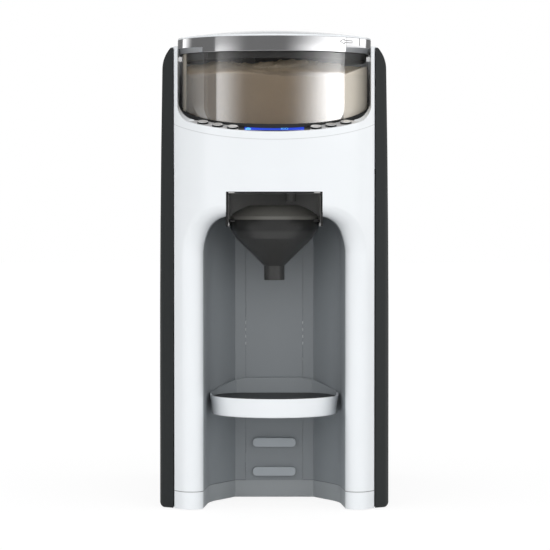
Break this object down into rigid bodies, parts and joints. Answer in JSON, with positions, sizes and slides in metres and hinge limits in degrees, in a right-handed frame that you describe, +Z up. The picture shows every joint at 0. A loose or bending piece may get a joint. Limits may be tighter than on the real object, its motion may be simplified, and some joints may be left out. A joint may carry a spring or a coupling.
{
  "type": "baby formula maker",
  "caption": "Countertop formula maker with a tilted control panel, a clear powder drum, a bottle niche with a hook-on stand, a pull-out funnel and a rear water tank.",
  "frame": {"origin": "middle of the footprint on the worktop, under the feet", "axes": "+Z up, -Y towards the user and the bottle niche, +X to the user's right"},
  "size_m": [0.177, 0.32, 0.3699],
  "materials": {
    "white_shell": "gloss",
    "charcoal": "satin",
    "niche_grey": "satin",
    "smoke_clear": "gloss",
    "smoke_funnel": "gloss",
    "bright_metal": "polished",
    "button_chrome": "polished",
    "display_black": "gloss",
    "black_plastic": "matte",
    "inner_plastic": "matte",
    "nylon": "satin",
    "silicone": "satin",
    "foot_rubber": "matte",
    "steel": "satin",
    "heater_alloy": "satin",
    "motor_steel": "satin",
    "board_green": "satin"
  },
  "bodies": {
    "machine": {"front_shell": "white_shell", "skirt_left": "white_shell", "skirt_right": "white_shell", "collar": "white_shell", "niche_liner": "niche_grey", "niche_plinth": "niche_grey", "peg_rail": "niche_grey", "side_panel_left": "charcoal", "side_panel_right": "charcoal", "rear_cover": "charcoal", "base_plate": "black_plastic", "base_screws": "steel", "feet": "foot_rubber", "power_inlet": "black_plastic", "chassis_left": "inner_plastic", "chassis_right": "inner_plastic", "hopper_deck": "black_plastic", "bulkhead": "black_plastic", "powder_chute": "black_plastic", "tank_dock": "charcoal", "control_panel": "bright_metal", "display_window": "display_black", "display_module": "display_black", "key_board": "board_green", "powder_motor": "motor_steel", "gear_plate": "steel", "water_nozzle": "silicone", "funnel_bay": "black_plastic", "funnel_switch": "black_plastic", "pump": "black_plastic", "heater": "heater_alloy", "feed_hose": "silicone", "heater_hose": "silicone", "spout_hose": "silicone", "main_board": "board_green"},
    "hopper": {"hopper": "smoke_clear", "hopper_floor": "black_plastic"},
    "stirrer": {"stirrer": "inner_plastic", "dosing_wheel": "inner_plastic"},
    "output_gear": {"output_gear": "nylon"},
    "idler_gear": {"idler_gear": "nylon"},
    "motor_pinion": {"motor_pinion": "nylon"},
    "seal": {"lid_seal": "silicone"},
    "lid": {"hopper_lid": "white_shell", "lid_band": "bright_metal"},
    "funnel": {"funnel": "smoke_funnel", "funnel_cover": "smoke_funnel"},
    "stand": {"stand_frame": "white_shell", "stand_bracket": "niche_grey"},
    "insert": {"stand_insert": "black_plastic"},
    "button_1": {"button_1": "button_chrome"},
    "button_2": {"button_2": "button_chrome"},
    "button_3": {"button_3": "button_chrome"},
    "button_4": {"button_4": "button_chrome"},
    "button_5": {"button_5": "button_chrome"},
    "button_6": {"button_6": "button_chrome"},
    "tank": {"water_tank": "smoke_clear"},
    "tank_lid": {"tank_lid": "charcoal"},
    "tank_valve": {"tank_valve": "silicone"}
  },
  "joints": [
    {"name": "hopper_lift", "type": "slide", "parent": "machine", "child": "hopper", "axis": [0, 0, 1], "range_m": [0, 0.12]},
    {"name": "stirrer_spin", "type": "hinge", "parent": "hopper", "child": "stirrer", "pos_m": [0, -0.07, 0.27], "axis": [0, 0, 1], "continuous": true},
    {"name": "output_spin", "type": "hinge", "parent": "machine", "child": "output_gear", "pos_m": [0, -0.07, 0.252], "axis": [0, 0, 1], "continuous": true},
    {"name": "idler_spin", "type": "hinge", "parent": "machine", "child": "idler_gear", "pos_m": [0, -0.043, 0.252], "axis": [0, 0, 1], "continuous": true},
    {"name": "pinion_spin", "type": "hinge", "parent": "machine", "child": "motor_pinion", "pos_m": [0, -0.019, 0.252], "axis": [0, 0, 1], "continuous": true},
    {"name": "lid_lift", "type": "slide", "parent": "hopper", "child": "seal", "axis": [0, 0, 1], "range_m": [0, 0.06]},
    {"name": "lid_twist", "type": "hinge", "parent": "seal", "child": "lid", "pos_m": [0, -0.07, 0.36], "axis": [0, 0, 1], "range_deg": [0, 25]},
    {"name": "funnel_slide", "type": "slide", "parent": "machine", "child": "funnel", "axis": [0, -1, 0], "range_m": [0, 0.105]},
    {"name": "stand_slide", "type": "slide", "parent": "machine", "child": "stand", "axis": [0, -1, 0], "range_m": [0, 0.12]},
    {"name": "insert_lift", "type": "slide", "parent": "stand", "child": "insert", "axis": [0, 0, 1], "range_m": [0, 0.03]},
    {"name": "button_1_press", "type": "slide", "parent": "machine", "child": "button_1", "axis": [0, 0.2756, -0.9613], "range_m": [0, 0.0008], "stiffness_N_per_m": 400, "springref_m": -0.0005},
    {"name": "button_2_press", "type": "slide", "parent": "machine", "child": "button_2", "axis": [0, 0.2756, -0.9613], "range_m": [0, 0.0008], "stiffness_N_per_m": 400, "springref_m": -0.0005},
    {"name": "button_3_press", "type": "slide", "parent": "machine", "child": "button_3", "axis": [0, 0.2756, -0.9613], "range_m": [0, 0.0008], "stiffness_N_per_m": 400, "springref_m": -0.0005},
    {"name": "button_4_press", "type": "slide", "parent": "machine", "child": "button_4", "axis": [0, 0.2756, -0.9613], "range_m": [0, 0.0008], "stiffness_N_per_m": 400, "springref_m": -0.0005},
    {"name": "button_5_press", "type": "slide", "parent": "machine", "child": "button_5", "axis": [0, 0.2756, -0.9613], "range_m": [0, 0.0008], "stiffness_N_per_m": 400, "springref_m": -0.0005},
    {"name": "button_6_press", "type": "slide", "parent": "machine", "child": "button_6", "axis": [0, 0.2756, -0.9613], "range_m": [0, 0.0008], "stiffness_N_per_m": 400, "springref_m": -0.0005},
    {"name": "tank_lift", "type": "slide", "parent": "machine", "child": "tank", "axis": [0, 0, 1], "range_m": [0, 0.21]},
    {"name": "tank_lid_lift", "type": "slide", "parent": "tank", "child": "tank_lid", "axis": [0, 0, 1], "range_m": [0, 0.05]},
    {"name": "valve_open", "type": "slide", "parent": "tank", "child": "tank_valve", "axis": [0, 0, 1], "range_m": [0, 0.0025], "stiffness_N_per_m": 150, "springref_m": -0.002}
  ],
  "couplings": [
    {"joint": "output_spin", "follows": "stirrer_spin", "ratio": 1},
    {"joint": "idler_spin", "follows": "stirrer_spin", "ratio": -0.5},
    {"joint": "pinion_spin", "follows": "stirrer_spin", "ratio": 1.5}
  ]
}
